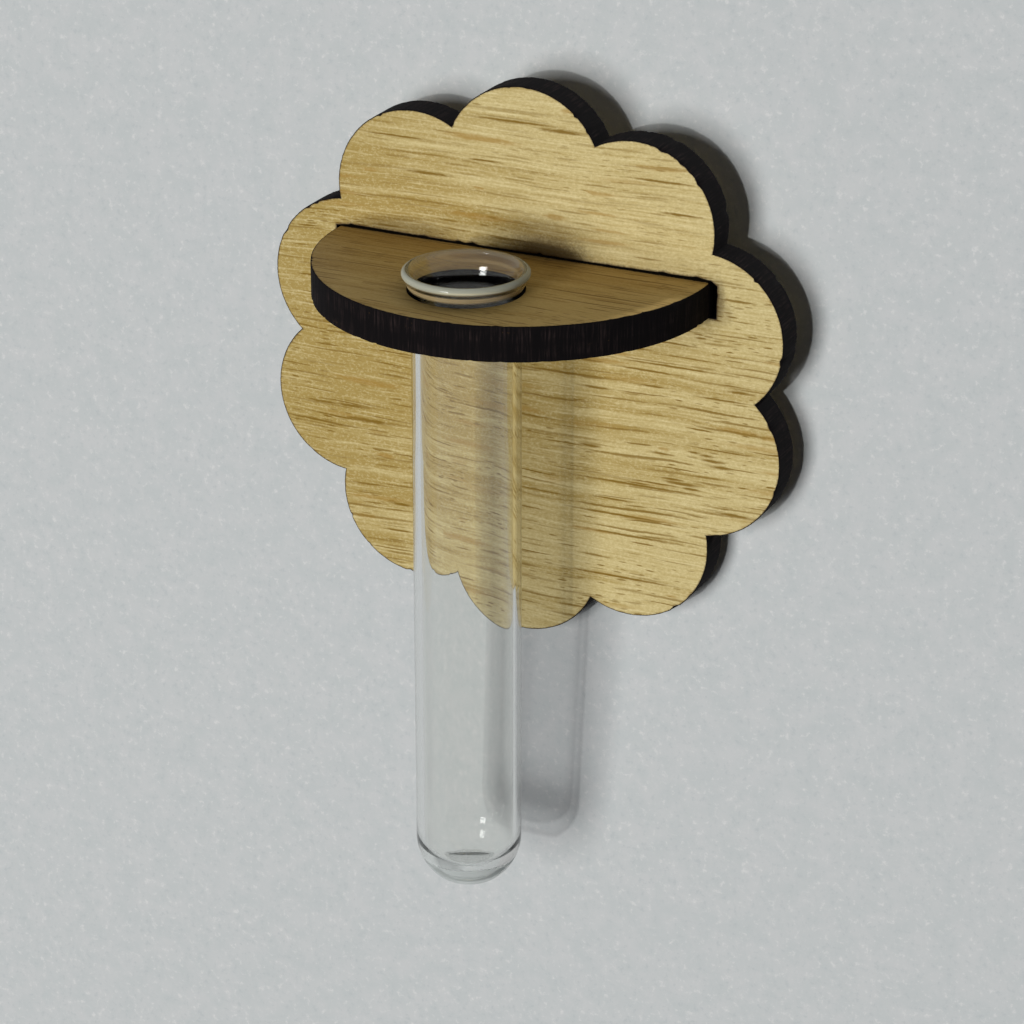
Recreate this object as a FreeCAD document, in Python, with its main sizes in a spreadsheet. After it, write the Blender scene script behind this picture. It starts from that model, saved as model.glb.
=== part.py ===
"""Wall vase: a scalloped back plate, a half-round shelf and a glass test tube that hangs in it.

Millimetres. The origin is the middle of the magnet's rear face, which lies on the wall.
+Z is up and the front faces -Y. The plate's centre is on the Y axis.
"""
import FreeCAD, Part
import os

import Sketcher

Vector = FreeCAD.Vector
FULL_TURN_DEG = 360.0
SHEET = "sizes"
WORKED = "worked_out"

# The driving dimensions
SIZES = {
    "sheet_thick": 5.3,
    "lobe_count": 10,
    "lobe_radius": 12.75,
    "lobe_ring_radius": 30.25,
    "shelf_radius": 30.2,
    "shelf_straight": 1.6,
    "shelf_top_height": 17.6,
    "slot_side_play": 0.7,
    "slot_left_gap": 0.5,
    "slot_top_play": 0.4,
    "tube_forward": 17.4,
    "hole_left_of_middle": 0.4,
    "tube_radius": 8.0,
    "tube_length": 97.5,
    "tube_base_radius": 4.5,
    "tube_floor_thick": 1.5,
    "glass_wall": 1.2,
    "lip_radius": 9.3,
    "lip_flare_radius": 7.8,
    "hole_play": 0.3,
    "lip_seat_gap": 0.1,
    "magnet_radius": 10.0,
    "magnet_thick": 3.0,
    "magnet_edge_break": 0.3,
}

# Lengths that follow from the driving dimensions, in the order in which they are worked out
WORKED_OUT = {
    "plate_front": "sizes.magnet_thick + sizes.sheet_thick",
    "slot_half_width": "sizes.shelf_radius + sizes.slot_side_play",
    "shelf_shift": "sizes.slot_side_play - sizes.slot_left_gap",
    "tube_shift": "worked_out.shelf_shift + sizes.hole_left_of_middle",
    "slot_low": "sizes.shelf_top_height - sizes.sheet_thick",
    "slot_high": "sizes.shelf_top_height + sizes.slot_top_play",
    "arc_centre_forward": "worked_out.plate_front + sizes.shelf_straight",
    "shelf_front": "worked_out.arc_centre_forward + sizes.shelf_radius",
    "tube_axis_forward": "worked_out.plate_front + sizes.tube_forward",
    "hole_radius": "sizes.tube_radius + sizes.hole_play",
    "bore_radius": "sizes.tube_radius - sizes.glass_wall",
    "bead_radius": "sizes.glass_wall / 2",
    "bead_across": "sizes.lip_radius - worked_out.bead_radius",
    "bead_up": "sizes.tube_length - worked_out.bead_radius",
    "flare_centre_across": "sizes.tube_radius + sizes.lip_flare_radius",
    "flare_reach": "sizes.lip_flare_radius + worked_out.bead_radius",
    "flare_run": "worked_out.flare_centre_across - worked_out.bead_across",
    "flare_rise": "sqrt(worked_out.flare_reach ^ 2 - worked_out.flare_run ^ 2)",
    "flare_start_up": "worked_out.bead_up - worked_out.flare_rise",
    "outer_flare_end_across": "worked_out.flare_centre_across - worked_out.flare_run"
                              " * sizes.lip_flare_radius / worked_out.flare_reach",
    "outer_flare_end_up": "worked_out.flare_start_up + worked_out.flare_rise"
                          " * sizes.lip_flare_radius / worked_out.flare_reach",
    "inner_flare_radius": "sizes.lip_flare_radius + sizes.glass_wall",
    "inner_flare_end_across": "worked_out.flare_centre_across - worked_out.flare_run"
                              " * worked_out.inner_flare_radius / worked_out.flare_reach",
    "inner_flare_end_up": "worked_out.flare_start_up + worked_out.flare_rise"
                          " * worked_out.inner_flare_radius / worked_out.flare_reach",
    "outer_round_up": "sqrt(sizes.tube_radius ^ 2 - sizes.tube_base_radius ^ 2)",
    "inner_round_up": "sizes.tube_floor_thick + worked_out.bore_radius",
    "seat_up": "worked_out.flare_start_up + sqrt(sizes.lip_flare_radius ^ 2"
               " - (sizes.lip_flare_radius - sizes.hole_play) ^ 2)",
    "tube_base_height": "sizes.shelf_top_height + sizes.lip_seat_gap - worked_out.seat_up",
}


class Model:
    """The document, its sheet of driving dimensions and the lengths worked out from them."""

    def __init__(self):
        self.doc = FreeCAD.newDocument("wall_vase")
        self.sheet = self.doc.addObject("Spreadsheet::Sheet", SHEET)
        for row, (name, value) in enumerate(SIZES.items(), start=1):
            self.sheet.set("A%d" % row, name)
            self.sheet.set("B%d" % row, repr(value))
            self.sheet.setAlias("B%d" % row, name)
        self.doc.recompute()
        self.worked = self.doc.addObject("App::VarSet", WORKED)
        for name, formula in WORKED_OUT.items():
            self.worked.addProperty("App::PropertyFloat", name)
            self.worked.setExpression(name, formula)
            self.doc.recompute()

    def value(self, name):
        """The number behind a name, in millimetres."""
        if name in SIZES:
            return float(self.sheet.get(name))
        return float(getattr(self.worked, name))

    def formula(self, name):
        """The expression that binds a size to a name."""
        return "%s.%s" % (SHEET if name in SIZES else WORKED, name)

    def body(self, label):
        body = self.doc.addObject("PartDesign::Body", label)
        body.Label = label
        return body


def origin_feature(body, role):
    """The body's own origin plane or axis that has this role."""
    return next(item for item in body.Origin.OriginFeatures if item.Role == role)


def new_sketch(body, name, role):
    """An empty sketch on one of the body's own origin planes."""
    sketch = body.newObject("Sketcher::SketchObject", name)
    sketch.AttachmentSupport = [(origin_feature(body, role), "")]
    sketch.MapMode = "FlatFace"
    return sketch


def hold_distance(model, sketch, kind, geometry, point, side, name):
    """Holds a point at the named length from an axis, on the side given by +1 or -1."""
    ends = (-1, 1, geometry, point) if side > 0 else (geometry, point, -1, 1)
    index = sketch.addConstraint(Sketcher.Constraint(kind, *ends, model.value(name)))
    sketch.setExpression("Constraints[%d]" % index, model.formula(name))


def hold_point(model, sketch, geometry, point, place):
    """Holds a point at (side, name) across and (side, name) up. A name of None is the axis, and
    None in place of the pair leaves the point free that way."""
    for kind, axis, held in zip(("DistanceX", "DistanceY"), (-2, -1), place):
        if held is None:
            continue
        side, name = held
        if name is None:
            sketch.addConstraint(Sketcher.Constraint("PointOnObject", geometry, point, axis))
        else:
            hold_distance(model, sketch, kind, geometry, point, side, name)


def hold_radius(model, sketch, geometry, name):
    index = sketch.addConstraint(Sketcher.Constraint("Radius", geometry, model.value(name)))
    sketch.setExpression("Constraints[%d]" % index, model.formula(name))


def coordinates(model, place):
    """The numbers that a place stands for, as a point of the sketch."""
    across, up = (side * model.value(name) if name else 0.0 for side, name in place)
    return Vector(across, up, 0)


def add_circle(model, sketch, centre, radius):
    """A circle with its centre at a place and a named radius."""
    shape = Part.Circle(coordinates(model, centre), Vector(0, 0, 1), model.value(radius))
    circle = sketch.addGeometry(shape)
    hold_point(model, sketch, circle, 3, centre)
    hold_radius(model, sketch, circle, radius)


def arc_middle(start, end, radius, bulge):
    """The middle point of the shorter arc from start to end, which bulges to the left or right."""
    chord = end - start
    half = chord.Length / 2
    sagitta = radius - (radius * radius - half * half) ** 0.5
    left = Vector(-chord.y, chord.x, 0).normalize()
    return (start + end) / 2 + left * (sagitta * bulge)


def add_outline(model, sketch, corners, arcs):
    """A closed outline through the corners. arcs gives, for the number of the corner that an arc
    starts from, its middle point and one way in which its centre is held; its ends do the rest.
    Every other side is a line."""
    points = [coordinates(model, corner) for corner in corners]
    count = len(points)
    sides = []
    for number, start in enumerate(points):
        end = points[(number + 1) % count]
        if number not in arcs:
            side = sketch.addGeometry(Part.LineSegment(start, end))
            sides.append((side, 1, 2))
            continue
        middle, _ = arcs[number]
        side = sketch.addGeometry(Part.Arc(start, middle, end))
        near, far = sketch.getPoint(side, 1), sketch.getPoint(side, 2)
        runs_forward = near.distanceToPoint(start) < far.distanceToPoint(start)
        sides.append((side, 1, 2) if runs_forward else (side, 2, 1))
    for number, (side, first, last) in enumerate(sides):
        next_side, next_first, _ = sides[(number + 1) % count]
        sketch.addConstraint(Sketcher.Constraint("Coincident", side, last, next_side, next_first))
        hold_point(model, sketch, side, first, corners[number])
    for number, (_, centre) in arcs.items():
        hold_point(model, sketch, sides[number][0], 3, centre)


def pad(model, body, sketch, name, thickness):
    """Raises a sketch by a named thickness along its plane's normal."""
    feature = body.newObject("PartDesign::Pad", name)
    feature.Profile = sketch
    feature.setExpression("Length", model.formula(thickness))
    feature.Refine = True
    body.Tip = feature
    model.doc.recompute()
    return feature


def cut_through(model, body, sketch, name):
    """Cuts a sketch through the whole body, both ways from its plane."""
    feature = body.newObject("PartDesign::Pocket", name)
    feature.Profile = sketch
    feature.Type = "ThroughAll"
    feature.Midplane = True
    feature.Refine = True
    before = body.Shape.Volume
    body.Tip = feature
    model.doc.recompute()
    if body.Shape.Volume >= before:
        raise RuntimeError("%s cuts nothing" % name)
    return feature


def back_plate(model):
    """The scalloped plate: round lobes on a ring about a core, with a slot for the shelf."""
    body = model.body("back_plate")
    core_sketch = new_sketch(body, "core_sketch", "XZ_Plane")
    add_circle(model, core_sketch, ((1, None), (1, None)), "lobe_ring_radius")
    pad(model, body, core_sketch, "core", "sheet_thick")
    lobe_sketch = new_sketch(body, "lobe_sketch", "XZ_Plane")
    add_circle(model, lobe_sketch, ((1, None), (1, "lobe_ring_radius")), "lobe_radius")
    lobe = pad(model, body, lobe_sketch, "lobe", "sheet_thick")
    lobes = body.newObject("PartDesign::PolarPattern", "lobes")
    lobes.Originals = [lobe]
    lobes.Axis = (origin_feature(body, "Y_Axis"), [""])
    lobes.Angle = FULL_TURN_DEG
    lobes.setExpression("Occurrences", model.formula("lobe_count"))
    lobes.Refine = True
    body.Tip = lobes
    model.doc.recompute()
    slot_sketch = new_sketch(body, "slot_sketch", "XZ_Plane")
    low, high = (1, "slot_low"), (1, "slot_high")
    left, right = (-1, "slot_half_width"), (1, "slot_half_width")
    add_outline(model, slot_sketch, [(left, low), (right, low), (right, high), (left, high)], {})
    cut_through(model, body, slot_sketch, "slot")
    body.setExpression("Placement.Base.y", "-" + model.formula("magnet_thick"))
    return body


def shelf(model):
    """The half-round shelf, whose straight back fills the plate's slot, with the tube's hole."""
    body = model.body("shelf")
    outline = new_sketch(body, "outline_sketch", "XY_Plane")
    left, right = (-1, "shelf_radius"), (1, "shelf_radius")
    back, spring = (-1, "magnet_thick"), (-1, "arc_centre_forward")
    front_middle = coordinates(model, ((1, None), (-1, "shelf_front")))
    corners = [(right, back), (left, back), (left, spring), (right, spring)]
    add_outline(model, outline, corners, {2: (front_middle, (None, spring))})
    pad(model, body, outline, "board", "sheet_thick")
    hole = new_sketch(body, "hole_sketch", "XY_Plane")
    add_circle(model, hole, ((-1, "hole_left_of_middle"), (-1, "tube_axis_forward")),
               "hole_radius")
    cut_through(model, body, hole, "tube_hole")
    body.setExpression("Placement.Base.x", "-" + model.formula("shelf_shift"))
    body.setExpression("Placement.Base.z", model.formula("slot_low"))
    return body


def test_tube(model):
    """The glass tube: round bottom with a ground flat, straight wall, and a flared lip whose
    edge is a full round. The profile is turned about the tube's axis."""
    body = model.body("test_tube")
    profile = new_sketch(body, "profile_sketch", "XZ_Plane")
    axis, ground = (1, None), (1, None)
    outer, bore = (1, "tube_radius"), (1, "bore_radius")
    corners = [
        (axis, ground),
        ((1, "tube_base_radius"), ground),
        (outer, (1, "outer_round_up")),
        (outer, (1, "flare_start_up")),
        ((1, "outer_flare_end_across"), (1, "outer_flare_end_up")),
        ((1, "inner_flare_end_across"), (1, "inner_flare_end_up")),
        (bore, (1, "flare_start_up")),
        (bore, (1, "inner_round_up")),
        (axis, (1, "tube_floor_thick")),
    ]
    points = [coordinates(model, corner) for corner in corners]
    bead = coordinates(model, ((1, "bead_across"), (1, "bead_up")))
    flare = coordinates(model, ((1, "flare_centre_across"), (1, "flare_start_up")))
    bead_top = bead + (bead - flare).cross(Vector(0, 0, 1)).normalize() * model.value("bead_radius")
    flare_centre = ((1, "flare_centre_across"), None)
    arcs = {
        1: (arc_middle(points[1], points[2], model.value("tube_radius"), -1),
            (None, (1, "outer_round_up"))),
        3: (arc_middle(points[3], points[4], model.value("lip_flare_radius"), 1), flare_centre),
        4: (bead_top, (None, (1, "bead_up"))),
        5: (arc_middle(points[5], points[6], model.value("inner_flare_radius"), -1), flare_centre),
        7: (arc_middle(points[7], points[8], model.value("bore_radius"), 1),
            (None, (1, "inner_round_up"))),
    }
    add_outline(model, profile, corners, arcs)
    turned = body.newObject("PartDesign::Revolution", "turned")
    turned.Profile = profile
    turned.ReferenceAxis = (origin_feature(body, "Z_Axis"), [""])
    turned.Angle = FULL_TURN_DEG
    body.Tip = turned
    model.doc.recompute()
    body.setExpression("Placement.Base.x", "-" + model.formula("tube_shift"))
    body.setExpression("Placement.Base.y", "-" + model.formula("tube_axis_forward"))
    body.setExpression("Placement.Base.z", model.formula("tube_base_height"))
    return body


def back_magnet(model):
    """The disc magnet glued to the middle of the plate's back; its rear face lies on the wall."""
    body = model.body("back_magnet")
    disc_sketch = new_sketch(body, "disc_sketch", "XZ_Plane")
    add_circle(model, disc_sketch, ((1, None), (1, None)), "magnet_radius")
    disc = pad(model, body, disc_sketch, "disc", "magnet_thick")
    rims = ["Edge%d" % (number + 1) for number, edge in enumerate(disc.Shape.Edges)
            if edge.Curve.TypeId == "Part::GeomCircle"]
    broken = body.newObject("PartDesign::Chamfer", "broken_rims")
    broken.Base = (disc, rims)
    broken.setExpression("Size", model.formula("magnet_edge_break"))
    body.Tip = broken
    model.doc.recompute()
    return body


def check(model, parts):
    """Stops when any object is left failed or any sub-part's shape is not a valid solid."""
    for item in model.doc.Objects:
        if "Invalid" in item.State or "Error" in item.State:
            raise RuntimeError("%s is left as %s" % (item.Label, item.State))
    for part in parts:
        if part.Shape.isNull() or not part.Shape.isValid() or not part.Shape.Solids:
            raise RuntimeError("%s has no valid solid" % part.Label)


def main():
    model = Model()
    parts = [back_plate(model), shelf(model), test_tube(model), back_magnet(model)]
    model.doc.recompute()
    check(model, parts)
    os.makedirs("parts", exist_ok=True)
    for part in parts:
        part.Shape.exportStep("parts/%s.step" % part.Label)
        box = part.Shape.BoundBox
        print("%-12s volume %9.1f  x %7.2f..%6.2f  y %7.2f..%6.2f  z %7.2f..%6.2f" % (
            part.Label, part.Shape.Volume, box.XMin, box.XMax, box.YMin, box.YMax, box.ZMin, box.ZMax))


main()
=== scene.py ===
"""Looks of the wall vase: a scalloped wooden plate, a half-round shelf and a glass test tube.

Metres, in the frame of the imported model: +Z is up, the front faces -Y and the wall is behind.
"""
import math
import random

import bmesh
import bpy
import numpy as np
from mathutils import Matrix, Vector


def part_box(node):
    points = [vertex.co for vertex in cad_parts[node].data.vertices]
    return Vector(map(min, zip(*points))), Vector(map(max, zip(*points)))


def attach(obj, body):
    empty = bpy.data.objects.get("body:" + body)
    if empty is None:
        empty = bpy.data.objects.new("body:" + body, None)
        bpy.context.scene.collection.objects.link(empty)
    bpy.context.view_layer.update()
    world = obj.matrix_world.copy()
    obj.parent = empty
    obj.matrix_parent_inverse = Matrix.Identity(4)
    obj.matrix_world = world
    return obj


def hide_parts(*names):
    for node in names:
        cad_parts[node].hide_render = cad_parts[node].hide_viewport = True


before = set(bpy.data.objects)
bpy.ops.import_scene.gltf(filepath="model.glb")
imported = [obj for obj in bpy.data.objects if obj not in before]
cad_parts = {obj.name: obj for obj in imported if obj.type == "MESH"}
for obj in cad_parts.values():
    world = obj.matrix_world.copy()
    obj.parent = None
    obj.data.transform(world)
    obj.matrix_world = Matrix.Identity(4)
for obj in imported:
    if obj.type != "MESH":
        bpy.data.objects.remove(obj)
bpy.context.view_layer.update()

MM = 0.001
TURN = 2 * math.pi
SEED = 7

# Places that come from the frame
plate_low, plate_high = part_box("back_plate")
shelf_low, shelf_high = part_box("shelf")
tube_low, tube_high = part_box("test_tube")
magnet_low, magnet_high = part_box("back_magnet")

# The scalloped plate and its slot
LOBE_COUNT = 10
LOBE_RADIUS = 12.75 * MM
LOBE_RING_RADIUS = plate_high.z - LOBE_RADIUS
SLOT_SIDE_PLAY = 0.7 * MM
SLOT_TOP_PLAY = 0.4 * MM
SLOT_FADE = 2.5 * MM
SLOT_MIDDLE_SHARE = 0.4
SLOT_CORNER = 0.5 * MM

# The half-round shelf and its hole
SHELF_RADIUS = (shelf_high.x - shelf_low.x) / 2
SHELF_MIDDLE = (shelf_high.x + shelf_low.x) / 2
ARC_CENTRE_Y = shelf_low.y + SHELF_RADIUS
TUBE_RADIUS = 8.0 * MM
HOLE_PLAY = 0.3 * MM
HOLE_RADIUS = TUBE_RADIUS + HOLE_PLAY
TUBE_AXIS = (tube_low + tube_high) / 2

# The boards' edges
ARRIS = 0.12 * MM
HOLE_ARRIS = 0.25 * MM
SCORCH_REACH = 1.6 * MM
OUTLINE_SMOKE = 1.0
SLOT_SMOKE = 1.5
CHIP_DEEP = 0.55 * MM
STEP_ALONG_EDGE = 0.25 * MM
POINTS_PER_LOBE = 120
ARRIS_STEPS = 3
ARRIS_SUPPORT = 1.6
ROUGHNESS = 0.025 * MM
CHIP_DEPTHS = (0.06 * MM, 0.3 * MM)
CHIP_HALF_WIDTHS = (1, 1, 2, 3)
CHIP_ROWS = (0.6, 1.0)
OUTLINE_CHIPS = 26
SLOT_CHIPS = 14
SHARP_ABOVE_DEG = 40.0

# The grain's tilt on the plate and the shelf. From the first height of CALM_ABOVE to the second, in
# mm, the plate's marks fade to the given share
PLATE_GRAIN_TILT_DEG = 0.5
SHELF_GRAIN_TILT_DEG = -1.0
CALM_ABOVE = (16.0, 26.0)
CALM_SHARE = 0.6

# How far the grain wanders, in mm, and how much lighter the veneer gets for each mm to the right
# and away from its middle. These two paint light and shade: the plate darker to the left, and
# painted shade of the shelf along the plate's middle, which also lightens the shelf to its front
DRIFT = 3.5
RIPPLE = 0.5
PAINTED_LIGHT_RIGHTWARDS = 0.0055
PAINTED_LIGHT_OUTWARDS = 0.007

# The grain's random marks, at most one in each scattered cell: the cell and the mark's half size,
# as (along, across) in mm, the share of the cells that hold a mark, and a seed
DASHES = ((2.9, 0.7), (1.25, 0.22), 0.6, 1.0)
LINES = ((11.0, 1.25), (4.0, 0.28), 0.6, 2.0)
LONG_LINES = ((32.0, 2.3), (14.5, 0.33), 0.8, 3.0)
THIN_LINES = ((19.0, 1.5), (9.0, 0.23), 0.7, 6.0)
STAINS = ((22.0, 2.4), (9.0, 0.75), 0.5, 5.0)
BLOTCHES = ((16.0, 6.0), (3.2, 0.8), 0.4, 4.0)
SEED_SHIFT = (3.7, 1.9)
LEAST_MARK = 0.4
PORE_STRENGTH = 0.92
STAIN_STRENGTH = 0.6

# How marks and the brown patches of smoke and painted shade end: the share of ragged noise in
# their reach, and the reaches at which they begin to show and show in full, where 1 is their half
# size
MARK_RAGGED = 0.8
STREAK_FADE = (1.4, 0.75)
STROKE_FADE = (1.4, 0.65)
SMOKE_SHADE_RAGGED = 0.5
SMOKE_SHADE_FADE = (1.25, 0.55)

# The smoke of the cut on the face: the least width of its brown rim and the width that noise adds,
# in mm, and its strength; and the strength and soft edge, in mm, of the black painted shade
# where the shelf is hidden in the slot
RIM_LEAST = 0.05
RIM_RAGGED = 0.45
RIM_STRENGTH = 0.8
HIDDEN_SHADE_STRENGTH = 0.97
HIDDEN_SHADE_EDGE = 0.25

# Marks of the plate's grain that stand out: each one's centre across and up the plate, and its half
# length and half width, in mm
PLATE_MARKS = (
    ((7.0, 0.0), (4.5, 0.25)), ((12.0, -1.5), (4.0, 0.3)), ((25.0, 3.6), (13.0, 0.25)),
    ((20.5, 2.4), (8.0, 0.25)), ((35.0, 1.2), (3.2, 0.35)), ((32.0, -0.4), (6.0, 0.25)),
    ((19.0, -16.0), (16.5, 0.3)), ((22.0, -15.2), (6.5, 0.22)), ((26.0, -14.6), (4.4, 0.4)),
    ((24.6, -14.1), (2.6, 0.3)), ((27.6, -15.2), (2.4, 0.32)), ((31.0, -10.2), (2.8, 0.38)),
    ((30.0, -9.5), (1.8, 0.3)), ((28.0, -9.3), (1.6, 0.25)), ((32.4, -11.0), (2.6, 0.38)),
    ((34.5, -18.2), (4.4, 0.4)), ((18.5, -24.4), (12.0, 0.3)), ((16.0, -21.3), (13.0, 0.28)),
    ((15.0, -18.9), (5.0, 0.25)), ((16.5, -31.4), (13.5, 0.3)), ((11.3, -10.9), (2.6, 0.4)),
    ((22.8, -10.3), (2.8, 0.28)), ((-1.5, 37.6), (10.0, 0.3)), ((6.5, 37.0), (5.5, 0.45)),
    ((-20.6, 33.1), (7.5, 0.25)), ((-15.4, 28.0), (5.4, 0.35)), ((22.0, 31.5), (7.7, 0.28)),
    ((25.3, 26.9), (4.8, 0.3)), ((-6.2, 31.1), (4.0, 0.25)), ((-26.0, -13.0), (6.5, 0.45)),
    ((-29.0, -11.0), (4.5, 0.35)), ((-20.5, -26.0), (3.0, 0.35)))

# Brown patches on the plate near its slot, as centre and half size in mm, and strength: the first
# two are the painted shadow of the tube's lip, the third is painted shade above the shelf's left
# half, and the last two are smoke with painted shade at the slot's right end
PLATE_SMOKE_AND_SHADE = (
    ((3.9, 18.3), (8.6, 3.3), 0.78), ((3.0, 20.6), (9.0, 4.0), 0.35),
    ((-20.0, 18.6), (12.0, 2.6), 0.4), ((31.2, 14.9), (1.6, 4.0), 0.5),
    ((32.0, 13.0), (2.2, 3.0), 0.25))

# The glass, its base and its bore
GLASS_WALL = 1.2 * MM
LIP_FLARE_RADIUS = 7.8 * MM
BASE_RADIUS = 4.5 * MM
BASE_EDGE_ROUND = 0.25 * MM
BASE_HOLLOW = 0.3 * MM
BASE_RINGS = (0.0, 0.2, 0.4, 0.6, 0.8, 0.95)
FLOOR_THICK = 1.5 * MM
BOWL_HEIGHT = 5.6 * MM
TUBE_SEGMENTS = 160
FOLD_STEPS = 4
ROUND_STEPS = 20
FLARE_STEPS = 24
BEAD_STEPS = 16
INNER_FLARE_STEPS = 12
BOWL_STEPS = 24
AXIS_SLACK_SHARE = 0.001

# How much painted reflection and highlight the glass has, as a milky white, as (depth under the
# top or height over the base in mm, share)
LIP_PAINTED_REFLECTION = ((0.0, 0.55), (0.7, 0.52), (1.0, 0.3), (1.2, 0.0), (1.5, 0.0), (1.7, 0.42),
            (2.3, 0.42), (2.5, 0.0))
LIP_TOP_DEEP = 0.32
LIP_TOP_PAINTED_HIGHLIGHT = 0.13
BORE_LINE_DEEP = 1.41
BORE_LINE_HALF = 0.15
BORE_LINE_PAINTED_HIGHLIGHT = 0.3
BASE_PAINTED_REFLECTION = ((0.0, 0.5), (2.4, 0.5), (4.5, 0.3), (7.5, 0.0))
BASE_FROST = 0.6
BASE_FROST_BELOW = BASE_HOLLOW / MM * 1.1

# The depths in mm between which the painted reflection turns warm, for the shelf's wood seen in
# the lip, cools again and turns to the base's tone
LIP_WARM_IN = (0.75, 1.2)
LIP_WARM_OUT = (5.0, 4.0)
BASE_TONE_IN = (40.0, 60.0)

# How much of the light on its way to another surface the glass lets through: by how it is met, as
# (facing from, facing to, share from, share to), at the lip, and by the height over the base in mm
FACE_ON_TO_EDGE_ON = (0.2, 0.95, 0.895, 0.53)
LIP_CLEARNESS = 0.2
BASE_CLEARNESS = ((0.0, 0.95), (3.2, 0.95), (4.4, 0.85), (6.6, 0.82), (9.5, 1.0))

# The camera of the photograph, as fitted to the plate's lobes
CAMERA_PLACE = Vector((0.2118, -0.4519, 0.1849))
CAMERA_AZIMUTH_DEG = 25.70
CAMERA_ELEVATION_DEG = 22.99
SENSOR_WIDTH_MM = 36.0
LENS_MM = 123.8
CLIP = (0.01, 20.0)

# The stage
WALL_HALF = 1.5
FLOOR_HALF = 4.0
FLOOR_BELOW = 0.5
MIRROR_REACH = 8.0 * MM

# The lamps: two far ones and a tall window to the left
KEY_TOWARDS = (-0.065, -1.0, 0.11)
KEY_STRENGTH = 0.74
KEY_ANGLE_DEG = 1.6
WINDOW_TOWARDS = (-0.205, -1.0, 0.05)
WINDOW_DISTANCE = 2.4
WINDOW_WIDTH = 0.6
WINDOW_HEIGHT = 1.3
WINDOW_POWER = 48.5
REAR_TOWARDS = (0.35, 1.0, 0.5)
REAR_STRENGTH = 1.4
REAR_ANGLE_DEG = 5.0

# The light from all round, and the tones of the backdrop and the floor as they are seen
AMBIENT = (0.036, 0.038, 0.06, 1.0)
BACKDROP = (0.55, 0.55, 0.55, 1.0)
FLOOR_GLOW = (0.46, 0.46, 0.46, 1.0)


class Nodes:
    """Fills one node tree. Most calls return the socket that the next one takes."""

    def __init__(self, owner):
        owner.use_nodes = True
        self.tree = owner.node_tree
        self.tree.nodes.clear()

    def node(self, kind, inputs=None, **settings):
        node = self.tree.nodes.new("ShaderNode" + kind)
        for name, value in settings.items():
            setattr(node, name, value)
        for name, value in (inputs or {}).items():
            if isinstance(value, bpy.types.NodeSocket):
                self.tree.links.new(value, node.inputs[name])
            else:
                node.inputs[name].default_value = value
        return node

    def math(self, operation, *terms):
        return self.node("Math", dict(enumerate(terms)), operation=operation).outputs[0]

    def vector(self, operation, *terms):
        node = self.node("VectorMath", dict(enumerate(terms)), operation=operation)
        return node.outputs["Value" if operation == "LENGTH" else "Vector"]

    def smooth(self, value, low, high, result_low=0.0, result_high=1.0):
        """Goes smoothly from one result to the other as the value goes from low to high."""
        limits = {"Value": value, "From Min": low, "From Max": high,
                  "To Min": result_low, "To Max": result_high}
        return self.node("MapRange", limits, interpolation_type="SMOOTHSTEP").outputs[0]

    def blend(self, share, first, second):
        """A colour between two others, by a share from 0 to 1."""
        return self.node("Mix", {0: share, 6: first, 7: second}, data_type="RGBA").outputs[2]

    def place_mm(self):
        """The object's own coordinates in millimetres."""
        place = self.node("TexCoord").outputs["Object"]
        return self.node("VectorMath", {0: place, "Scale": 1 / MM}, operation="SCALE").outputs[0]

    def noise(self, place, pitch, detail=2.0, roughness=0.5, offset=(0.0, 0.0, 0.0)):
        """Noise from 0 to 1 whose features have the given pitch, in mm, along each axis."""
        shares = tuple(1.0 / length for length in pitch)
        node = self.node("VectorMath", {0: place, 1: shares, 2: offset}, operation="MULTIPLY_ADD")
        inputs = {"Vector": node.outputs["Vector"], "Scale": 1.0, "Detail": detail,
                  "Roughness": roughness}
        return self.node("TexNoise", inputs, noise_dimensions="3D").outputs[0]

    def seen(self):
        """1 for what the camera sees, straight or in metal and glass, and 0 for other light."""
        path = self.node("LightPath").outputs
        return self.math("MAXIMUM", path["Is Camera Ray"], self.math(
            "MAXIMUM", path["Is Glossy Ray"], path["Is Transmission Ray"]))

    def attribute(self, name):
        return self.node("Attribute", attribute_name=name).outputs["Fac"]

    def finish(self, surface, output="OutputMaterial"):
        self.node(output, {"Surface": surface})


class Shader(Nodes):
    """Builds one material."""

    def __init__(self, name):
        self.material = bpy.data.materials.new(name)
        super().__init__(self.material)

    def finish(self, surface):
        super().finish(surface)
        return self.material


def srgb(red, green, blue):
    """A colour given in the photograph's 0 to 255 steps, as the linear colour of a shader."""
    def linear(step):
        share = step / 255
        return share / 12.92 if share <= 0.04045 else ((share + 0.055) / 1.055) ** 2.4
    return (linear(red), linear(green), linear(blue), 1.0)


def reach_of(shader, offset, half_size):
    """How far an offset reaches from an ellipse's centre, where 1 is its rim."""
    shape = (1 / half_size[0], 1 / half_size[1], 0.0)
    return shader.vector("LENGTH", shader.vector("MULTIPLY", offset, shape))


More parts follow.
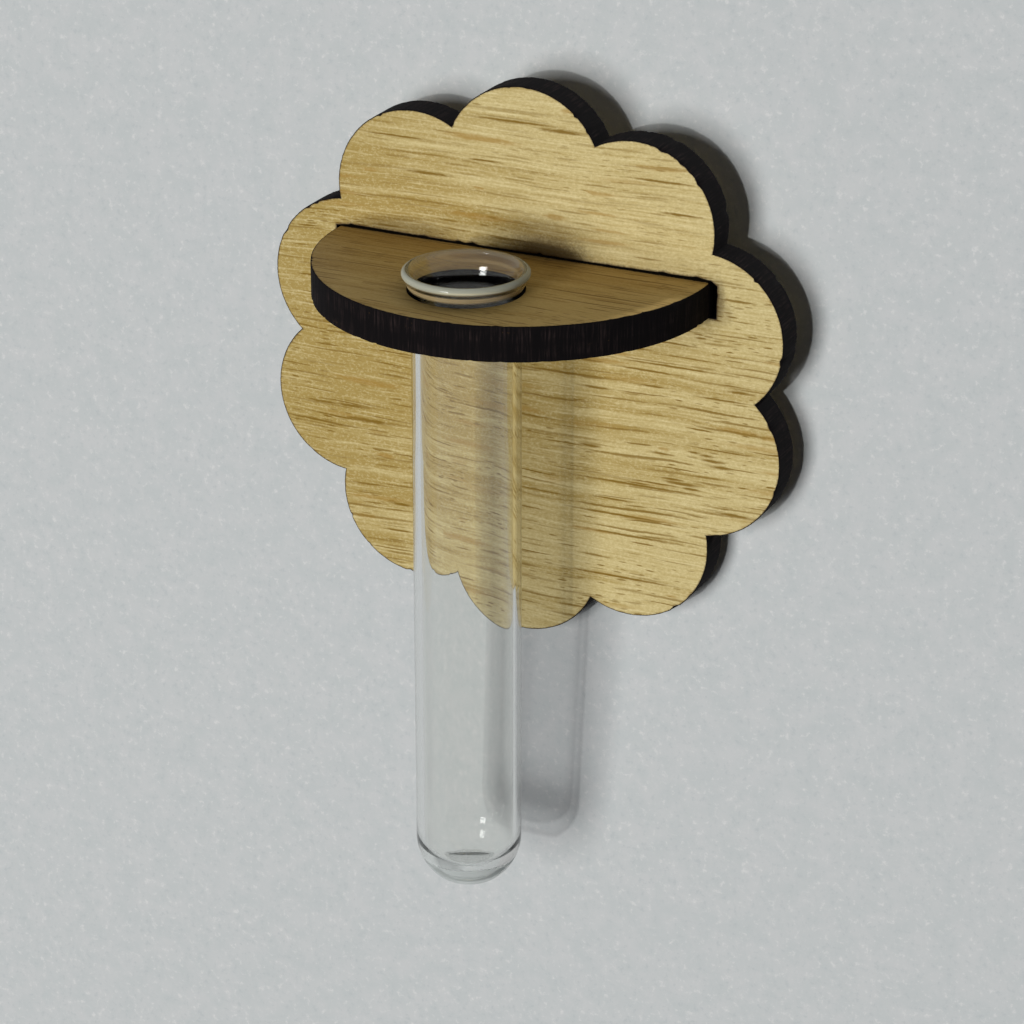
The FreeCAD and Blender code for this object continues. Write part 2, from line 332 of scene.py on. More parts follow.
def streaks(shader, grain, ragged, cell, half_size, share, seed):
    """Marks along the grain with ragged ends, at most one in each scattered cell. The cell and the
    mark's half size are (along, across) in mm, and the share of the cells that hold a mark goes
    from 0 to 1."""
    spot = shader.node("VectorMath", {0: grain, 1: (1 / cell[0], 1 / cell[1], 0.0),
                                      2: (seed * SEED_SHIFT[0], seed * SEED_SHIFT[1], 0.0)},
                       operation="MULTIPLY_ADD").outputs["Vector"]
    inputs = {"Vector": spot, "Scale": 1.0, "Randomness": 1.0}
    cells = shader.node("TexVoronoi", inputs, voronoi_dimensions="2D")
    offset = shader.vector("SUBTRACT", spot, cells.outputs["Position"])
    reach = reach_of(shader, offset, (half_size[0] / cell[0], half_size[1] / cell[1]))
    random_parts = shader.node("SeparateColor", {0: cells.outputs["Color"]})
    held = shader.math("LESS_THAN", random_parts.outputs[0], share)
    length = shader.math("MULTIPLY_ADD", random_parts.outputs[1], 1 - LEAST_MARK, LEAST_MARK)
    strength = shader.math("MULTIPLY_ADD", random_parts.outputs[2], 1 - LEAST_MARK, LEAST_MARK)
    reach = shader.math("DIVIDE", reach, length)
    reach = shader.math("MULTIPLY_ADD", ragged, MARK_RAGGED, reach)
    inside = shader.smooth(reach, *STREAK_FADE)
    return shader.math("MULTIPLY", shader.math("MULTIPLY", inside, held), strength)


def spot_reach(shader, flat, ragged, ragged_share, centre, half_size):
    """How far a place on the face reaches from a spot's centre, in its half sizes, with a ragged
    rim."""
    offset = shader.vector("SUBTRACT", flat, (centre[0], centre[1], 0.0))
    reach = reach_of(shader, offset, half_size)
    return shader.math("MULTIPLY_ADD", ragged, ragged_share, reach)


def veneer(name, across_axis, tilt_deg, tones, marks, smoke_and_shade=(), shade_beyond=None):
    """Golden open-pored veneer with its grain along X, with painted light and shade: a little
    darker to the left and along its middle. across_axis is the face's other axis, marks are those
    that stand out, as (centre, half size), the brown patches given as (centre, half size, strength)
    are partly smoke and partly painted shadow and shade, and beyond the given place across, in mm,
    the face is painted black as shade where it lies hidden in the slot."""
    shader = Shader(name)
    place = shader.place_mm()
    parts = shader.node("SeparateXYZ", {0: place})
    along, across = parts.outputs["X"], parts.outputs[across_axis]
    tilt = math.radians(tilt_deg)
    turned = shader.math("MULTIPLY_ADD", along, -math.sin(tilt), across)
    flat = shader.node("CombineXYZ", {0: along, 1: turned}).outputs[0]
    drift = shader.noise(flat, (60.0, 22.0, 1.0), detail=1.0)
    ripple = shader.noise(flat, (9.0, 5.0, 1.0), detail=1.0, offset=(5.0, 3.0, 0.0))
    bend = shader.math("MULTIPLY_ADD", shader.math("SUBTRACT", drift, 0.5), DRIFT,
                       shader.math("MULTIPLY", shader.math("SUBTRACT", ripple, 0.5), RIPPLE))
    grain = shader.node("CombineXYZ", {0: along, 1: shader.math("ADD", turned, bend)}).outputs[0]

    grain_bands_and_shade = shader.noise(grain, (60.0, 2.6, 1.0), detail=3.0, roughness=0.6)
    # Painted light and shade: lighter to the right, and darker along the middle, where the shelf
    # shades the plate
    grain_bands_and_shade = shader.math("MULTIPLY_ADD", along, PAINTED_LIGHT_RIGHTWARDS, grain_bands_and_shade)
    from_middle = shader.math("ABSOLUTE", across)
    grain_bands_and_shade = shader.math("MULTIPLY_ADD", from_middle, PAINTED_LIGHT_OUTWARDS, grain_bands_and_shade)
    fibres = shader.noise(grain, (11.0, 0.32, 1.0), detail=3.0, roughness=0.6,
                          offset=(1.0, 9.0, 0.0))
    shimmer = shader.noise(place, (0.45, 0.3, 0.3), detail=2.0, roughness=0.7)
    colour = shader.blend(shader.smooth(grain_bands_and_shade, 0.48, 0.8), tones["dark"], tones["light"])
    colour = shader.blend(shader.smooth(fibres, 0.5, 0.28, 0.0, 0.55), colour, tones["dark"])
    colour = shader.blend(shader.smooth(fibres, 0.5, 0.72, 0.0, 0.45), colour, tones["pale"])
    colour = shader.blend(shader.smooth(shimmer, 0.45, 0.75, 0.0, 0.36), colour, tones["pale"])
    colour = shader.blend(shader.smooth(shimmer, 0.5, 0.25, 0.0, 0.3), colour, tones["dark"])

    region = shader.noise(grain, (26.0, 7.0, 1.0), detail=1.0, offset=(7.0, 2.0, 0.0))
    broken = shader.noise(grain, (1.4, 0.3, 1.0), detail=2.0, offset=(3.0, 8.0, 0.0))
    pores = streaks(shader, grain, broken, *DASHES)
    pores = shader.math("MULTIPLY", pores, shader.smooth(region, 0.42, 0.6, 0.12, 1.0))
    for kind in (LINES, LONG_LINES, THIN_LINES):
        pores = shader.math("MAXIMUM", pores, streaks(shader, grain, broken, *kind))
    calm = shader.smooth(across, *CALM_ABOVE, 1.0, CALM_SHARE)
    pores = shader.math("MULTIPLY", pores, calm)
    for centre, half_size in marks:
        reach = spot_reach(shader, flat, broken, MARK_RAGGED, centre, half_size)
        pores = shader.math("MAXIMUM", pores, shader.smooth(reach, *STROKE_FADE))
    stained = shader.math("MAXIMUM", streaks(shader, grain, broken, *STAINS),
                          streaks(shader, grain, broken, *BLOTCHES))
    stained = shader.math("MULTIPLY", stained, STAIN_STRENGTH)
    colour = shader.blend(stained, colour, tones["ochre"])
    colour = shader.blend(shader.math("MULTIPLY", pores, PORE_STRENGTH), colour, tones["pore"])

    ragged = shader.noise(place, (0.35, 0.35, 0.35), detail=2.0)
    rim = shader.math("MULTIPLY_ADD", ragged, RIM_RAGGED, RIM_LEAST)
    rim = shader.math("MULTIPLY", rim, shader.attribute("smoke"))
    burn = shader.math("DIVIDE", shader.attribute("inset"), rim)
    burn = shader.smooth(burn, 1.3, 0.2, 0.0, RIM_STRENGTH)
    colour = shader.blend(burn, colour, srgb(62, 42, 22))
    # Brown patches: smoke, and painted shadow and shade near the shelf and the tube's lip
    for centre, half_size, strength in smoke_and_shade:
        reach = spot_reach(shader, flat, ragged, SMOKE_SHADE_RAGGED, centre, half_size)
        shown = shader.smooth(reach, *SMOKE_SHADE_FADE, 0.0, strength)
        colour = shader.blend(shown, colour, srgb(72, 50, 14))
    # Painted shade: the shelf's top turns black where it lies hidden in the plate's slot
    if shade_beyond is not None:
        edge = shader.math("MULTIPLY_ADD", ragged, 0.5, across)
        hidden_shade = shader.smooth(edge, shade_beyond, shade_beyond + HIDDEN_SHADE_EDGE, 0.0,
                               HIDDEN_SHADE_STRENGTH)
        colour = shader.blend(hidden_shade, colour, srgb(14, 11, 9))

    height = shader.math("MULTIPLY_ADD", pores, -1.0, shader.math("MULTIPLY", fibres, 0.35))
    bump = shader.node("Bump", {"Height": height, "Strength": 0.25, "Distance": 0.05 * MM})
    surface = shader.node("BsdfPrincipled", {
        "Base Color": colour, "Normal": bump.outputs[0], "Roughness": 0.6,
        "Specular IOR Level": 0.15})
    return shader.finish(surface.outputs[0])


def charred():
    """The laser's burnt edge: almost black, with fine marks across the board's thickness."""
    shader = Shader("charred_edge")
    run, deep = shader.attribute("run"), shader.attribute("deep")
    wall = shader.node("CombineXYZ", {0: run, 1: deep}).outputs[0]
    marks = shader.noise(wall, (0.3, 6.0, 1.0), detail=3.0, roughness=0.65)
    patches = shader.noise(wall, (7.0, 2.2, 1.0), detail=2.0, offset=(4.0, 1.0, 0.0))
    specks = shader.noise(wall, (0.35, 0.7, 1.0), detail=3.0, roughness=0.7, offset=(9.0, 6.0, 0.0))
    faint = shader.math("MULTIPLY", shader.smooth(marks, 0.45, 0.75),
                        shader.smooth(patches, 0.4, 0.65, 0.25, 1.0))
    colour = shader.blend(faint, srgb(14, 12, 13), srgb(46, 37, 36))
    golden = shader.math("MULTIPLY", shader.smooth(specks, 0.62, 0.76),
                         shader.smooth(patches, 0.58, 0.72))
    colour = shader.blend(golden, colour, srgb(112, 82, 46))
    bump = shader.node("Bump", {"Height": marks, "Strength": 0.4, "Distance": 0.05 * MM})
    surface = shader.node("BsdfPrincipled", {
        "Base Color": colour, "Normal": bump.outputs[0], "Roughness": 0.9,
        "Specular IOR Level": 0.05})
    return shader.finish(surface.outputs[0])


def clear_glass():
    """Clear glass with painted reflection and highlight: a milky white round the outside of the
    fire-polished lip, warm below its rim where the shelf's wood would be seen, a pale ring on the
    lip's top inside, a pale line in the bore and a paler round bottom; and frosted under its base.
    Light on its way to another surface passes it without bending, dimmed most where it meets the
    glass edge on. What the camera sees in the glass is refracted."""
    shader = Shader("clear_glass")
    glass = shader.node("BsdfPrincipled", {
        "Base Color": (0.948, 0.954, 0.938, 1.0), "Roughness": 0.0, "IOR": 1.5,
        "Transmission Weight": 1.0})
    facing = shader.node("LayerWeight", {"Blend": 0.5}).outputs["Facing"]
    dimmed = shader.smooth(facing, *FACE_ON_TO_EDGE_ON)
    dimmed = shader.math("MULTIPLY", dimmed, shader.attribute("clearness"))
    passed = shader.node("BsdfTransparent", {"Color": shader.blend(
        dimmed, (0.0, 0.0, 0.0, 1.0), (1.0, 1.0, 1.0, 1.0))})
    # Painted reflection and highlight: a pale white, warm below the lip where the shelf's wood
    # would be seen
    deep = shader.math("SUBTRACT", tube_high.z / MM,
                       shader.node("SeparateXYZ", {0: shader.place_mm()}).outputs["Z"])
    warm_wood_reflection = shader.math("MULTIPLY", shader.smooth(deep, *LIP_WARM_IN),
                       shader.smooth(deep, *LIP_WARM_OUT))
    white = shader.blend(warm_wood_reflection, srgb(214, 214, 192), srgb(216, 190, 140))
    white = shader.blend(shader.smooth(deep, *BASE_TONE_IN), white, srgb(200, 207, 204))
    pale_paint_and_frost = shader.node("BsdfDiffuse", {"Color": white})
    outside = shader.math("SUBTRACT", 1.0, shader.node("NewGeometry").outputs["Backfacing"])
    reflection_and_frost = shader.math("MULTIPLY", shader.attribute("reflection_paint"), outside)
    pits = shader.noise(shader.place_mm(), (0.7, 0.7, 0.7), detail=3.0, roughness=0.7)
    frosted = shader.math("MULTIPLY", shader.attribute("frost"), shader.smooth(
        pits, 0.3, 0.65, 0.45, 1.0))
    reflection_and_frost = shader.math("MAXIMUM", reflection_and_frost, frosted)
    glass_with_paint = shader.node("MixShader", {0: reflection_and_frost, 1: glass.outputs[0], 2: pale_paint_and_frost.outputs[0]})
    path = shader.node("LightPath").outputs
    viewed = shader.math("MAXIMUM", path["Is Camera Ray"], path["Is Singular Ray"])
    straight = shader.math("MAXIMUM", path["Is Shadow Ray"], shader.math("SUBTRACT", 1.0, viewed))
    mixed = shader.node("MixShader", {0: straight, 1: glass_with_paint.outputs[0], 2: passed.outputs[0]})
    return shader.finish(mixed.outputs[0])


def nickel():
    """Nickel plate with a faint satin and a few fine scratches."""
    shader = Shader("nickel_plate")
    place = shader.place_mm()
    cloud = shader.noise(place, (3.0, 3.0, 3.0), detail=3.0)
    scratch = shader.noise(place, (6.0, 1.0, 0.12), detail=2.0, offset=(2.0, 0.0, 5.0))
    colour = shader.blend(cloud, srgb(196, 190, 180), srgb(222, 219, 212))
    rough = shader.math("MULTIPLY_ADD", cloud, 0.14, 0.16)
    bump = shader.node("Bump", {"Height": scratch, "Strength": 0.08, "Distance": 0.02 * MM})
    surface = shader.node("BsdfPrincipled", {
        "Base Color": colour, "Metallic": 1.0, "Roughness": rough, "Normal": bump.outputs[0]})
    return shader.finish(surface.outputs[0])


def wall_paint():
    """Pale wall with a faint mottle. It can't be seen from behind, what the camera sees is lit
    through it, and the magnet that touches it mirrors what lies behind it. Light that has bounced
    once doesn't pass it."""
    shader = Shader("wall_paint")
    place = shader.place_mm()
    cloud = shader.noise(place, (4.0, 4.0, 4.0), detail=3.0, roughness=0.6)
    fibre = shader.noise(place, (1.3, 1.3, 0.45), detail=3.0, roughness=0.75)
    colour = shader.blend(shader.smooth(cloud, 0.3, 0.7), srgb(187, 191, 190), srgb(193, 195, 194))
    colour = shader.blend(shader.smooth(fibre, 0.54, 0.72, 0.0, 0.8), colour, srgb(208, 208, 206))
    colour = shader.blend(shader.smooth(fibre, 0.46, 0.3, 0.0, 0.7), colour, srgb(179, 184, 184))
    surface = shader.node("BsdfDiffuse", {"Color": colour})
    clear = shader.node("BsdfTransparent")
    behind = shader.node("NewGeometry").outputs["Backfacing"]
    path = shader.node("LightPath").outputs
    first = shader.math("LESS_THAN", path["Diffuse Depth"], 0.5)
    lit_through = shader.math("MULTIPLY", path["Is Shadow Ray"], first)
    close = shader.math("LESS_THAN", path["Ray Length"], MIRROR_REACH)
    mirrored = shader.math("MULTIPLY", path["Is Glossy Ray"], close)
    open_share = shader.math("MAXIMUM", behind, shader.math("MAXIMUM", lit_through, mirrored))
    mixed = shader.node("MixShader", {0: open_share, 1: surface.outputs[0], 2: clear.outputs[0]})
    return shader.finish(mixed.outputs[0])


def floor_paint():
    """Plain floor, pale as it is seen, dark to the light that it scatters on to the rest, and not
    seen from below."""
    shader = Shader("floor_paint")
    surface = shader.node("BsdfDiffuse", {"Color": srgb(60, 60, 60)})
    glow = shader.node("Emission", {"Color": FLOOR_GLOW, "Strength": shader.seen()})
    added = shader.node("AddShader", {0: surface.outputs[0], 1: glow.outputs[0]})
    clear = shader.node("BsdfTransparent")
    behind = shader.node("NewGeometry").outputs["Backfacing"]
    mixed = shader.node("MixShader", {0: behind, 1: added.outputs[0], 2: clear.outputs[0]})
    return shader.finish(mixed.outputs[0])


def scalloped(inset):
    """The plate's outline moved inwards: an arc for each lobe, from cusp to cusp. Gives the points
    and, for each, the way out of the wood."""
    radius = LOBE_RADIUS - inset
    half_share = math.pi / LOBE_COUNT
    cusp = LOBE_RING_RADIUS * math.cos(half_share) + math.sqrt(
        radius ** 2 - (LOBE_RING_RADIUS * math.sin(half_share)) ** 2)
    widest = math.atan2(cusp * math.sin(half_share), cusp * math.cos(half_share) - LOBE_RING_RADIUS)
    heading = np.repeat(TURN * np.arange(LOBE_COUNT) / LOBE_COUNT, POINTS_PER_LOBE)
    steps = 2 * np.arange(POINTS_PER_LOBE) / POINTS_PER_LOBE - 1
    turn = heading + np.tile(widest * steps, LOBE_COUNT)
    outward = np.stack([np.sin(turn), np.cos(turn)], axis=1)
    centre = LOBE_RING_RADIUS * np.stack([np.sin(heading), np.cos(heading)], axis=1)
    return centre + radius * outward, outward


def side(start, end, outward, length):
    """Points of a straight side, without its end. length is the side's length at no inset."""
    count = max(2, round(length / STEP_ALONG_EDGE))
    share = np.arange(count)[:, None] / count
    points = np.array(start) + (np.array(end) - np.array(start)) * share
    return points, np.tile(outward, (count, 1))


def arc(centre, radius, start_turn, end_turn, length):
    """Points of an arc, without its end, and the way out from its centre."""
    count = round(length / STEP_ALONG_EDGE)
    turn = start_turn + (end_turn - start_turn) * np.arange(count) / count
    outward = np.stack([np.cos(turn), np.sin(turn)], axis=1)
    return np.array(centre) + radius * outward, outward


def joined(*stretches):
    """One outline from stretches that follow each other."""
    points, outward = zip(*stretches)
    return np.concatenate(points), np.concatenate(outward)


def slot(inset):
    """The plate's slot, which grows into the wood with the inset. Its play over the shelf is least
    in the middle and fades out at both ends, and its right upper corner is rounded off."""
    half_width = SHELF_RADIUS + SLOT_SIDE_PLAY
    low, high = shelf_low.z, shelf_high.z
    left, right = -half_width - inset, half_width + inset
    below, above = low - inset, high + inset
    roof, down = side((right, above), (left, above), (0.0, -1.0), 2 * half_width)
    from_end = half_width - np.abs(roof[:, 0])
    sag = SLOT_MIDDLE_SHARE + (1 - SLOT_MIDDLE_SHARE) * (roof[:, 0] / half_width) ** 2
    roof[:, 1] += SLOT_TOP_PLAY * sag * np.clip(from_end / SLOT_FADE, 0.0, 1.0)
    past_shelf = (roof[:, 0] - SHELF_MIDDLE - SHELF_RADIUS) / (right - SHELF_MIDDLE - SHELF_RADIUS)
    roof[:, 1] -= SLOT_CORNER * np.clip(past_shelf, 0.0, 1.0)
    return joined(
        side((left, below), (right, below), (0.0, 1.0), 2 * half_width),
        side((right, below), (right, above - SLOT_CORNER), (-1.0, 0.0), high - low),
        (roof, down),
        side((left, above), (left, below), (1.0, 0.0), high - low))


def half_round(inset):
    """The shelf's outline moved inwards: the front's arc, the two sides and the straight back."""
    radius = SHELF_RADIUS - inset
    left, right = SHELF_MIDDLE - radius, SHELF_MIDDLE + radius
    back = shelf_high.y - inset
    depth = shelf_high.y - ARC_CENTRE_Y
    return joined(
        arc((SHELF_MIDDLE, ARC_CENTRE_Y), radius, math.pi, TURN, math.pi * SHELF_RADIUS),
        side((right, ARC_CENTRE_Y), (right, back), (1.0, 0.0), depth),
        side((right, back), (left, back), (0.0, 1.0), 2 * SHELF_RADIUS),
        side((left, back), (left, ARC_CENTRE_Y), (-1.0, 0.0), depth))


def tube_hole(inset):
    """The shelf's round hole, which grows into the wood with the inset."""
    points, outward = arc((TUBE_AXIS.x, TUBE_AXIS.y), HOLE_RADIUS + inset, 0.0, TURN,
                          TURN * HOLE_RADIUS)
    return points, -outward


def wear(count, rng, rough, chips):
    """How far the edge lies inside its outline at each of its points: fine roughness all round,
    and the depth of a few chips that the veneer has lost."""
    ragged = np.array([rng.gauss(0.0, rough) for _ in range(count)])
    ragged = (ragged + np.roll(ragged, 1) + np.roll(ragged, -1)) / 2
    lost = np.zeros(count)
    for _ in range(chips):
        middle, half_width = rng.randrange(count), rng.choice(CHIP_HALF_WIDTHS)
        deepest = rng.uniform(*CHIP_DEPTHS)
        for step in range(-half_width, half_width + 1):
            here = (middle + step) % count
            lost[here] = max(lost[here], deepest * (1 - abs(step) / (half_width + 1)))
    return np.abs(ragged), lost


def edge_rows(arris, thickness):
    """The rows of a board's edge as (inset, depth), from one face round to the other."""
    face = [(SCORCH_REACH, 0.0), (SCORCH_REACH / 2, 0.0), (arris * ARRIS_SUPPORT, 0.0)]
    corner = [(arris * (1 - math.sin(turn)), arris * (1 - math.cos(turn)))
              for turn in np.linspace(0.0, math.pi / 2, ARRIS_STEPS + 1)]
    wall = [(0.0, CHIP_DEEP * share) for share in CHIP_ROWS]
    half = face + corner + wall
    return half + [(0.0, thickness / 2)] + [(inset, thickness - depth)
                                            for inset, depth in reversed(half)]


def board(name, loops, place, thickness, materials):
    """A board of the given thickness. loops gives, for each of its closed edges, the outline as a
    function of the inset, the arris, the roughness, the number of chips and how far the smoke
    reaches. place turns a point of the outline and its depth into a point in space."""
    rng = random.Random(SEED)
    mesh = bmesh.new()
    layers = {key: mesh.verts.layers.float.new(key) for key in ("run", "deep", "inset", "smoke")}
    face_edges = {0.0: [], thickness: []}
    for outline, arris, rough, chips, smoke in loops:
        base, outward = outline(0.0)
        count = len(base)
        steps = np.linalg.norm(np.diff(base, axis=0, append=base[:1]), axis=1)
        run = np.concatenate([[0.0], np.cumsum(steps)[:-1]]) / MM
        worn = {face: wear(count, rng, rough, chips) for face in (False, True)}
        rows = []
        for inset, depth in edge_rows(arris, thickness):
            points, _ = outline(inset)
            ragged, lost = worn[depth > thickness / 2]
            below_face = min(depth, thickness - depth)
            moved = lost * max(0.0, 1 - below_face / CHIP_DEEP) * (inset < SCORCH_REACH)
            moved = moved + ragged * (inset <= arris)
            points = points - outward * moved[:, None]
            row = []
            for number, point in enumerate(points):
                vertex = mesh.verts.new(place(point[0], point[1], depth))
                vertex[layers["run"]] = run[number]
                vertex[layers["deep"]] = depth / MM
                vertex[layers["inset"]] = inset / MM
                vertex[layers["smoke"]] = smoke
                row.append(vertex)
            rows.append((depth, row))
        for (depth, row), (next_depth, next_row) in zip(rows, rows[1:]):
            on_face = depth == next_depth and depth in face_edges
            for number in range(count):
                after = (number + 1) % count
                quad = mesh.faces.new((row[number], row[after], next_row[after], next_row[number]))
                quad.material_index = 0 if on_face else 1
        for depth, row in (rows[0], rows[-1]):
            face_edges[depth] += [mesh.edges.get((row[number], row[(number + 1) % count]))
                                  for number in range(count)]
    for edges in face_edges.values():
        bmesh.ops.triangle_fill(mesh, edges=edges, use_beauty=True)
    bmesh.ops.recalc_face_normals(mesh, faces=mesh.faces)
    return finished(name, mesh, materials)


def finished(name, mesh, materials):
    """The object of a finished mesh, smooth but for its sharp corners."""
    data = bpy.data.meshes.new(name)
    mesh.to_mesh(data)
    mesh.free()
    piece = bpy.data.objects.new(name, data)
    bpy.context.scene.collection.objects.link(piece)
    for material in materials:
        data.materials.append(material)
    data.shade_smooth()
    data.set_sharp_from_angle(angle=math.radians(SHARP_ABOVE_DEG))
    return piece


def lathe(name, profile, axis, materials):
    """A closed solid turned about an upright axis. The profile is (radius, height), and both of its
    ends lie on the axis."""
    mesh = bmesh.new()
    turns = [TURN * number / TUBE_SEGMENTS for number in range(TUBE_SEGMENTS)]
    rings = []
    for radius, height in profile:
        if radius < MM * AXIS_SLACK_SHARE:
            rings.append([mesh.verts.new((axis.x, axis.y, height))])
            continue
        rings.append([mesh.verts.new((axis.x + radius * math.cos(turn),
                                      axis.y + radius * math.sin(turn), height)) for turn in turns])
    for ring, next_ring in zip(rings, rings[1:]):
        for number in range(TUBE_SEGMENTS):
            after = (number + 1) % TUBE_SEGMENTS
            corners = [ring[number % len(ring)], ring[after % len(ring)],
                       next_ring[after % len(next_ring)], next_ring[number % len(next_ring)]]
            mesh.faces.new(list(dict.fromkeys(corners)))
    bmesh.ops.recalc_face_normals(mesh, faces=mesh.faces)
    return finished(name, mesh, materials)


def sweep(centre, radius, start_deg, end_deg, count):
    """Points of an arc of the profile, both ends included."""
    turns = np.radians(np.linspace(start_deg, end_deg, count + 1))
    return [(centre[0] + radius * math.cos(turn), centre[1] + radius * math.sin(turn))
            for turn in turns]


def tube_profile():
    """The glass in section, from the middle of its base, up the outside and down the bore."""
    base, top = tube_low.z, tube_high.z
    lip_radius = (tube_high.x - tube_low.x) / 2
    bore = TUBE_RADIUS - GLASS_WALL
    bead = GLASS_WALL / 2
    round_up = base + math.sqrt(TUBE_RADIUS ** 2 - BASE_RADIUS ** 2)
    fold_across = math.sqrt((TUBE_RADIUS - BASE_EDGE_ROUND) ** 2
                            - (round_up - base - BASE_EDGE_ROUND) ** 2)
    fold_turn = math.degrees(math.atan2(base + BASE_EDGE_ROUND - round_up, fold_across))
    flare_across = TUBE_RADIUS + LIP_FLARE_RADIUS
    bead_across, bead_up = lip_radius - bead, top - bead
    flare_run = flare_across - bead_across
    flare_turn = math.degrees(math.acos(flare_run / (LIP_FLARE_RADIUS + bead)))
    flare_up = bead_up - math.sqrt((LIP_FLARE_RADIUS + bead) ** 2 - flare_run ** 2)
    floor = base + FLOOR_THICK
    profile = [(fold_across * share, base + BASE_HOLLOW * (1 - share ** 2))
               for share in BASE_RINGS]
    profile += sweep((fold_across, base + BASE_EDGE_ROUND), BASE_EDGE_ROUND, -90.0, fold_turn,
                     FOLD_STEPS)
    profile += sweep((0.0, round_up), TUBE_RADIUS, fold_turn, 0.0, ROUND_STEPS)[1:]
    clearing = base + BASE_CLEARNESS[-1][0] * MM
    profile.append((TUBE_RADIUS, clearing))
    profile += sweep((flare_across, flare_up), LIP_FLARE_RADIUS, 180.0, 180.0 - flare_turn,
                     FLARE_STEPS)
    profile += sweep((bead_across, bead_up), bead, -flare_turn, 180.0 - flare_turn,
                     BEAD_STEPS)[1:-1]
    profile += sweep((flare_across, flare_up), LIP_FLARE_RADIUS + GLASS_WALL,
                     180.0 - flare_turn, 180.0, INNER_FLARE_STEPS)
    profile.append((bore, clearing))
    profile += [(across, floor + BOWL_HEIGHT * (1 + up / bore))
                for across, up in sweep((0.0, 0.0), bore, 0.0, -90.0, BOWL_STEPS)]
    return profile


def dress_holder():
    """The plate, the shelf and the magnet."""
    char = charred()
    golden = {"dark": srgb(161, 137, 74), "light": srgb(194, 176, 121), "pale": srgb(226, 212, 162),
              "pore": srgb(118, 88, 4), "ochre": srgb(152, 114, 34)}
    # The shelf has the same veneer in browner tones: painted shade, for its top lies in shade
    shade_painted_tones = {"dark": srgb(172, 140, 75), "light": srgb(191, 161, 96), "pale": srgb(208, 182, 120),
              "pore": srgb(122, 92, 44), "ochre": srgb(148, 114, 54)}
    plate = board(
        "scalloped_plate",
        [(scalloped, ARRIS, ROUGHNESS, OUTLINE_CHIPS, OUTLINE_SMOKE),
         (slot, ARRIS, ROUGHNESS, SLOT_CHIPS, SLOT_SMOKE)],
        lambda u, v, depth: (u, plate_low.y + depth, v), plate_high.y - plate_low.y,
        [veneer("plate_veneer", "Z", PLATE_GRAIN_TILT_DEG, golden, PLATE_MARKS, PLATE_SMOKE_AND_SHADE),
         char])
    shelf = board(
        "half_round_shelf",
        [(half_round, ARRIS, ROUGHNESS, OUTLINE_CHIPS, OUTLINE_SMOKE),
         (tube_hole, HOLE_ARRIS, ROUGHNESS, 0, OUTLINE_SMOKE)],
        lambda u, v, depth: (u, v, shelf_high.z - depth), shelf_high.z - shelf_low.z,
        [veneer("shelf_veneer", "Y", SHELF_GRAIN_TILT_DEG, shade_painted_tones, (),
                shade_beyond=plate_low.y / MM), char])
    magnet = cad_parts["back_magnet"]
    magnet.data.materials.clear()
    magnet.data.materials.append(nickel())
    for piece, node in ((plate, "back_plate"), (shelf, "shelf")):
        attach(piece, "holder")
        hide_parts(node)


def on_course(course, place):
    """The value at a place along a course of (place, value)."""
    places, values = zip(*course)
    return np.interp(place, places, values)


def mark_glass(tube):
    """How much painted reflection and highlight the glass has at each of its points, round the
    outside of the lip, on its top inside, along a line in the bore and at the round bottom, how
    frosted it is under its base, and how much of the light on its way to another surface it lets
    through."""
    names = ("reflection_paint", "clearness", "frost")
    for name in names:
        tube.data.attributes.new(name, "FLOAT", "POINT")
    reflection_paint, clearness, frost = (tube.data.attributes[name].data for name in names)
    for number, vertex in enumerate(tube.data.vertices):
        deep, up = (tube_high.z - vertex.co.z) / MM, (vertex.co.z - tube_low.z) / MM
        inwards = vertex.normal.x * (vertex.co.x - TUBE_AXIS.x) < -vertex.normal.y * (
            vertex.co.y - TUBE_AXIS.y)
        in_lip = vertex.co.z > shelf_high.z
        frost[number].value = BASE_FROST if up < BASE_FROST_BELOW else 0.0
        clearness[number].value = LIP_CLEARNESS if in_lip else on_course(BASE_CLEARNESS, up)
        # Painted reflection and highlight on the lip, in the bore and at the round bottom
        if in_lip and not inwards:
            reflection_paint[number].value = on_course(LIP_PAINTED_REFLECTION, deep)
        elif in_lip and deep < LIP_TOP_DEEP:
            reflection_paint[number].value = LIP_TOP_PAINTED_HIGHLIGHT
        elif in_lip and abs(deep - BORE_LINE_DEEP) < BORE_LINE_HALF:
            reflection_paint[number].value = BORE_LINE_PAINTED_HIGHLIGHT
        elif not inwards:
            reflection_paint[number].value = on_course(BASE_PAINTED_REFLECTION, up)


def dress_tube():
    tube = lathe("glass_tube", tube_profile(), TUBE_AXIS, [clear_glass()])
    mark_glass(tube)
    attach(tube, "tube")
    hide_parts("test_tube")


def placed(name, data, turn, place=(0.0, 0.0, 0.0)):
    """A new object of the scene."""
    piece = bpy.data.objects.new(name, data)
    piece.rotation_mode = "QUATERNION"
    piece.rotation_quaternion = turn
    piece.location = place
    bpy.context.scene.collection.objects.link(piece)
    return piece


def panel(name, half_size, centre, normal, material):
    """A flat square that faces along its normal."""
    mesh = bpy.data.meshes.new(name)
    corners = [(-half_size, -half_size, 0.0), (half_size, -half_size, 0.0),
               (half_size, half_size, 0.0), (-half_size, half_size, 0.0)]
    mesh.from_pydata(corners, [], [(0, 1, 2, 3)])
    mesh.materials.append(material)
    placed(name, mesh, Vector(normal).to_track_quat("Z", "Y"), centre)


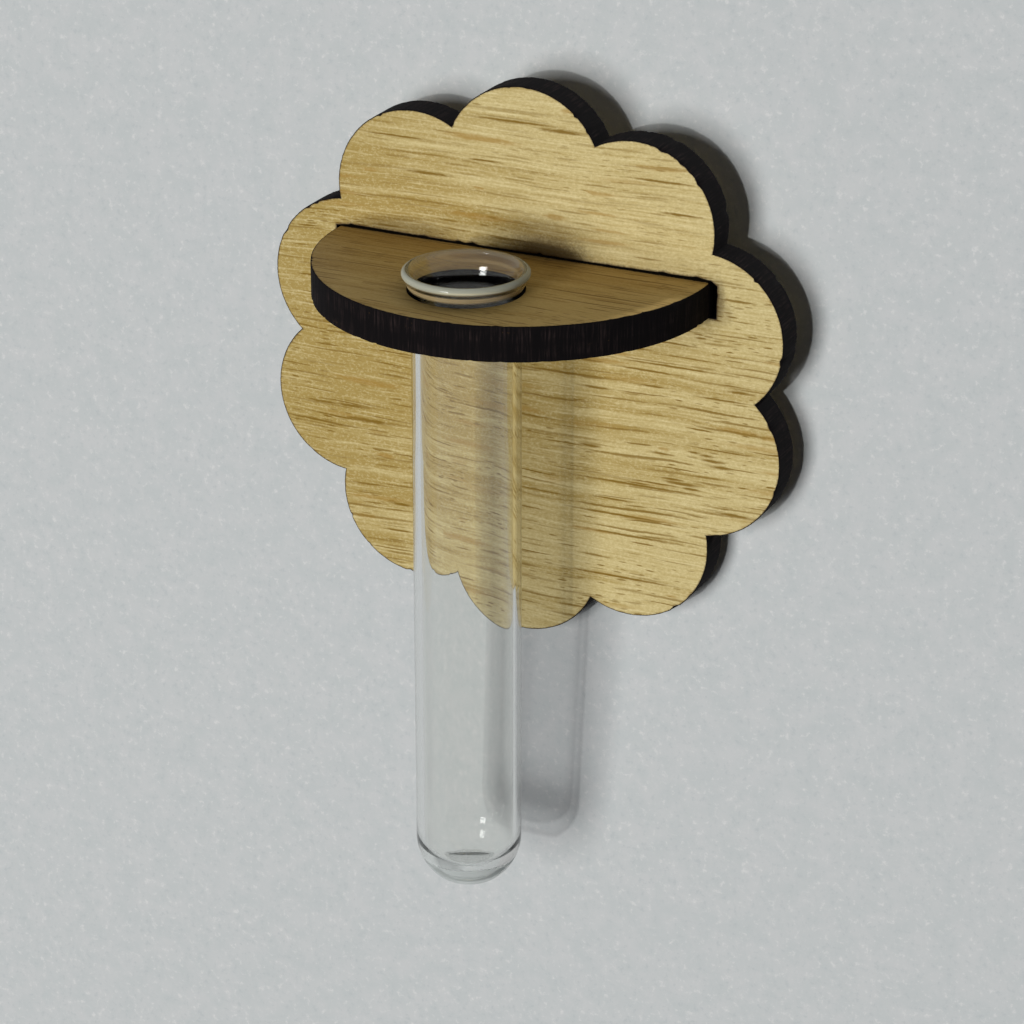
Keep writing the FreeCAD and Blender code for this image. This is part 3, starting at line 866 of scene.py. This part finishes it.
def stage():
    """The wall, which the plate's lower edge and the magnet's lower edge touch, and a floor."""
    foot = Vector((0.0, plate_high.y, plate_low.z))
    magnet_foot = Vector((0.0, magnet_high.y, magnet_low.z))
    up_the_wall = (magnet_foot - foot).normalized()
    facing = up_the_wall.cross(Vector((1.0, 0.0, 0.0)))
    panel("wall", WALL_HALF, magnet_foot, -facing if facing.y > 0 else facing, wall_paint())
    panel("floor", FLOOR_HALF, (0.0, 0.0, -FLOOR_BELOW), (0.0, 0.0, 1.0), floor_paint())


def lamp(name, towards, strength, angle_deg):
    """A far lamp that lies in the given direction."""
    data = bpy.data.lights.new(name, "SUN")
    data.energy = strength
    data.angle = math.radians(angle_deg)
    placed(name, data, Vector(towards).to_track_quat("Z", "Y"))


def window():
    """A tall, soft light to the left of the front."""
    data = bpy.data.lights.new("window", "AREA")
    data.shape = "RECTANGLE"
    data.size, data.size_y = WINDOW_WIDTH, WINDOW_HEIGHT
    data.energy = WINDOW_POWER
    towards = Vector(WINDOW_TOWARDS)
    placed("window", data, towards.to_track_quat("Z", "Y"), towards * WINDOW_DISTANCE)


def light():
    lamp("key_lamp", KEY_TOWARDS, KEY_STRENGTH, KEY_ANGLE_DEG)
    lamp("rear_lamp", REAR_TOWARDS, REAR_STRENGTH, REAR_ANGLE_DEG)
    window()
    world = bpy.data.worlds.new("plain_world")
    bpy.context.scene.world = world
    nodes = Nodes(world)
    colour = nodes.blend(nodes.seen(), AMBIENT, BACKDROP)
    nodes.finish(nodes.node("Background", {"Color": colour}).outputs[0], "OutputWorld")


def camera():
    data = bpy.data.cameras.new("camera")
    data.sensor_width = SENSOR_WIDTH_MM
    data.lens = LENS_MM
    data.clip_start, data.clip_end = CLIP
    turn, rise = math.radians(CAMERA_AZIMUTH_DEG), math.radians(CAMERA_ELEVATION_DEG)
    back = Vector((math.sin(turn) * math.cos(rise), -math.cos(turn) * math.cos(rise),
                   math.sin(rise)))
    bpy.context.scene.camera = placed("camera", data, (-back).to_track_quat("-Z", "Y"),
                                      CAMERA_PLACE)


dress_holder()
dress_tube()
stage()
light()
camera()
bpy.context.scene.view_settings.view_transform = "Standard"
